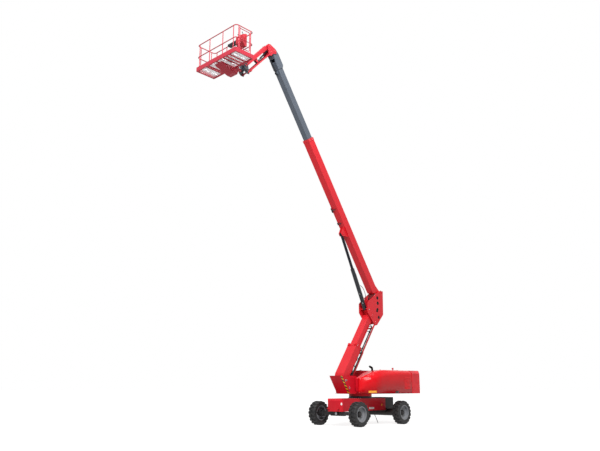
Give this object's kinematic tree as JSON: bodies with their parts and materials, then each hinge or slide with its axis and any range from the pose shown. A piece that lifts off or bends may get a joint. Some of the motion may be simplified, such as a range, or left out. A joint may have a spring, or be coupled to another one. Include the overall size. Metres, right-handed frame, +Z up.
{
  "type": "articulating boom lift",
  "caption": "Self-propelled articulating boom lift with slewing turntable, telescopic tower, telescopic main boom, jib and guarded work platform.",
  "frame": {"origin": "on the ground under the middle of the bounding box of the machine at rest", "axes": "+X from the counterweight towards the platform, +Y to the machine's left, +Z up; the raised booms make Z the longest extent"},
  "size_m": [11.707, 2.555, 15.8442],
  "materials": {
    "beacon_lens": "clear",
    "black_paint": "satin",
    "box_plastic": "moulded",
    "cast_weight": "painted",
    "engine_iron": "rough",
    "floor_steel": "galvanised",
    "grey_paint": "satin",
    "hose_rubber": "matt",
    "red_paint": "semi-gloss",
    "rim_paint": "satin",
    "rod_chrome": "polished",
    "steel": "machined",
    "tyre": "matt"
  },
  "bodies": {
    "chassis": {"chassis_frame": "red_paint", "slew_ring": "steel", "rear_axle": "black_paint", "front_axle": "black_paint"},
    "steer_left": {"knuckle_left": "black_paint"},
    "steer_right": {"knuckle_right": "black_paint"},
    "wheel_front_left": {"tyre_front_left": "tyre", "rim_front_left": "rim_paint"},
    "wheel_front_right": {"tyre_front_right": "tyre", "rim_front_right": "rim_paint"},
    "wheel_rear_left": {"tyre_rear_left": "tyre", "rim_rear_left": "rim_paint"},
    "wheel_rear_right": {"tyre_rear_right": "tyre", "rim_rear_right": "rim_paint"},
    "turntable": {"turntable_frame": "red_paint", "inner_walls": "red_paint", "counterweight": "cast_weight", "engine_block": "engine_iron", "exhaust_pipe": "black_paint", "beacon": "beacon_lens"},
    "hood_left": {"hood_left": "red_paint"},
    "hood_right": {"hood_right": "red_paint"},
    "tower": {"tower_outer": "red_paint", "hoses_lower": "hose_rubber"},
    "tower_extension": {"tower_inner": "red_paint"},
    "tower_ram": {"tower_ram_barrel": "black_paint"},
    "tower_ram_rod": {"tower_ram_rod": "rod_chrome"},
    "link": {"link_outer": "red_paint"},
    "link_extension": {"link_inner": "red_paint"},
    "upright": {"upright": "red_paint"},
    "boom": {"boom_outer": "red_paint"},
    "boom_extension": {"boom_inner": "grey_paint"},
    "lift_ram": {"lift_ram_barrel": "black_paint"},
    "lift_ram_rod": {"lift_ram_rod": "rod_chrome"},
    "jib_bracket": {"jib_bracket": "red_paint"},
    "level_ram": {"level_ram_barrel": "black_paint"},
    "level_ram_rod": {"level_ram_rod": "rod_chrome"},
    "jib": {"jib_arm": "red_paint"},
    "jib_link": {"jib_link": "red_paint"},
    "jib_ram": {"jib_ram_barrel": "black_paint"},
    "jib_ram_rod": {"jib_ram_rod": "rod_chrome"},
    "jib_support": {"jib_support": "black_paint", "rotator": "black_paint"},
    "platform": {"platform_frame": "red_paint", "platform_floor": "floor_steel", "control_box": "box_plastic", "tool_tray": "black_paint"},
    "gate": {"gate": "red_paint"}
  },
  "joints": [
    {"name": "slew", "type": "hinge", "parent": "chassis", "child": "turntable", "pos_m": [-2.7735, 0, 1.206], "axis": [0, 0, 1], "continuous": true},
    {"name": "steer_left", "type": "hinge", "parent": "chassis", "child": "steer_left", "pos_m": [-1.2735, 0.88, 0.5], "axis": [0, 0, 1], "range_deg": [-30, 30]},
    {"name": "steer_right", "type": "hinge", "parent": "chassis", "child": "steer_right", "pos_m": [-1.2735, -0.88, 0.5], "axis": [0, 0, 1], "range_deg": [-30, 30]},
    {"name": "wheel_front_left_spin", "type": "hinge", "parent": "steer_left", "child": "wheel_front_left", "pos_m": [-1.2735, 1.1, 0.5], "axis": [0, 1, 0], "continuous": true},
    {"name": "wheel_front_right_spin", "type": "hinge", "parent": "steer_right", "child": "wheel_front_right", "pos_m": [-1.2735, -1.1, 0.5], "axis": [0, 1, 0], "continuous": true},
    {"name": "wheel_rear_left_spin", "type": "hinge", "parent": "chassis", "child": "wheel_rear_left", "pos_m": [-4.2735, 1.1, 0.5], "axis": [0, 1, 0], "continuous": true},
    {"name": "wheel_rear_right_spin", "type": "hinge", "parent": "chassis", "child": "wheel_rear_right", "pos_m": [-4.2735, -1.1, 0.5], "axis": [0, 1, 0], "continuous": true},
    {"name": "hood_left_lift", "type": "hinge", "parent": "turntable", "child": "hood_left", "pos_m": [-2.7735, 0.5525, 2.324], "axis": [1, 0, 0], "range_deg": [0, 60]},
    {"name": "hood_right_lift", "type": "hinge", "parent": "turntable", "child": "hood_right", "pos_m": [-2.7735, -0.5525, 2.324], "axis": [-1, 0, 0], "range_deg": [0, 60]},
    {"name": "tower_lift", "type": "hinge", "parent": "turntable", "child": "tower", "pos_m": [-1.4135, 0, 1.86], "axis": [0, 1, 0], "range_deg": [-54.2, 12]},
    {"name": "tower_telescope", "type": "slide", "parent": "tower", "child": "tower_extension", "axis": [-0.585, 0, 0.8111], "range_m": [-0.75, 0.35]},
    {"name": "upright_level", "type": "hinge", "parent": "tower_extension", "child": "upright", "pos_m": [-3.47255, 0, 4.71495], "axis": [0, 1, 0], "range_deg": [-12.12, 54.74]},
    {"name": "link_lift", "type": "hinge", "parent": "turntable", "child": "link", "pos_m": [-1.6365, 0, 1.547], "axis": [0, 1, 0], "range_deg": [-54.74, 12.12]},
    {"name": "link_telescope", "type": "slide", "parent": "link", "child": "link_extension", "axis": [-0.585, 0, 0.8111], "range_m": [-0.7576, 0.3536]},
    {"name": "tower_ram_swing", "type": "hinge", "parent": "turntable", "child": "tower_ram", "pos_m": [-1.7735, 0, 1.45], "axis": [0, 1, 0], "range_deg": [-55.02, 12.18]},
    {"name": "tower_ram_stroke", "type": "slide", "parent": "tower_ram", "child": "tower_ram_rod", "axis": [-0.4694, 0, 0.883], "range_m": [-0.4873, 0.108]},
    {"name": "boom_lift", "type": "hinge", "parent": "upright", "child": "boom", "pos_m": [-4.14255, 0, 5.87995], "axis": [0, -1, 0], "range_deg": [-55.45, 14.5]},
    {"name": "boom_telescope", "type": "slide", "parent": "boom", "child": "boom_extension", "axis": [0.5671, 0, 0.8236], "range_m": [-3, 1.6]},
    {"name": "lift_ram_swing", "type": "hinge", "parent": "upright", "child": "lift_ram", "pos_m": [-3.25255, 0, 5.05495], "axis": [0, -1, 0], "range_deg": [-57.68, 15.08]},
    {"name": "lift_ram_stroke", "type": "slide", "parent": "lift_ram", "child": "lift_ram_rod", "axis": [0.4387, 0, 0.8986], "range_m": [-1.0753, 0.2813]},
    {"name": "bracket_level", "type": "hinge", "parent": "boom_extension", "child": "jib_bracket", "pos_m": [2.7781, 0, 15.59925], "axis": [0, -1, 0], "range_deg": [-14.65, 56]},
    {"name": "level_ram_swing", "type": "hinge", "parent": "boom_extension", "child": "level_ram", "pos_m": [2.50869, 0, 14.74424], "axis": [0, -1, 0], "range_deg": [-1.61, 6.16]},
    {"name": "level_ram_stroke", "type": "slide", "parent": "level_ram", "child": "level_ram_rod", "axis": [0.6404, 0, 0.7681], "range_m": [-0.0819, 0.3129]},
    {"name": "jib_lift", "type": "hinge", "parent": "jib_bracket", "child": "jib", "pos_m": [3.1281, 0, 15.74925], "axis": [0, -1, 0], "range_deg": [-20, 110]},
    {"name": "jib_link_lift", "type": "hinge", "parent": "jib_bracket", "child": "jib_link", "pos_m": [3.0281, 0, 15.42925], "axis": [0, -1, 0], "range_deg": [-20.2, 111.1]},
    {"name": "jib_support_level", "type": "hinge", "parent": "jib", "child": "jib_support", "pos_m": [4.3775, 0, 14.37135], "axis": [0, -1, 0], "range_deg": [-111.1, 20.2]},
    {"name": "jib_ram_swing", "type": "hinge", "parent": "jib_bracket", "child": "jib_ram", "pos_m": [3.0881, 0, 15.57925], "axis": [0, -1, 0], "range_deg": [-19.9, 109.43]},
    {"name": "jib_ram_stroke", "type": "slide", "parent": "jib_ram", "child": "jib_ram_rod", "axis": [0.6104, 0, -0.7921], "range_m": [-0.053, 0.291]},
    {"name": "platform_swing", "type": "hinge", "parent": "jib_support", "child": "platform", "pos_m": [4.6085, 0, 14.19935], "axis": [0, 0, 1], "range_deg": [-80, 80]},
    {"name": "gate_swing", "type": "hinge", "parent": "platform", "child": "gate", "pos_m": [5.6425, 1.201, 14.6], "axis": [0, 0, 1], "range_deg": [0, 80]}
  ],
  "couplings": [
    {"joint": "steer_right", "follows": "steer_left", "ratio": 1},
    {"joint": "upright_level", "follows": "tower_lift", "ratio": -1},
    {"joint": "link_lift", "follows": "tower_lift", "ratio": 1},
    {"joint": "link_telescope", "follows": "tower_telescope", "ratio": 1},
    {"joint": "tower_ram_swing", "follows": "tower_lift", "ratio": 1.005},
    {"joint": "tower_ram_stroke", "follows": "tower_lift", "m_per_rad": 0.51},
    {"joint": "lift_ram_swing", "follows": "boom_lift", "ratio": 1.03},
    {"joint": "lift_ram_stroke", "follows": "boom_lift", "m_per_rad": 1.1},
    {"joint": "bracket_level", "follows": "boom_lift", "ratio": -1},
    {"joint": "level_ram_swing", "follows": "boom_lift", "ratio": -0.11},
    {"joint": "level_ram_stroke", "follows": "boom_lift", "m_per_rad": -0.32},
    {"joint": "jib_link_lift", "follows": "jib_lift", "ratio": 1},
    {"joint": "jib_support_level", "follows": "jib_lift", "ratio": -1},
    {"joint": "jib_ram_swing", "follows": "jib_lift", "ratio": 0.985},
    {"joint": "jib_ram_stroke", "follows": "jib_lift", "m_per_rad": 0.15}
  ]
}
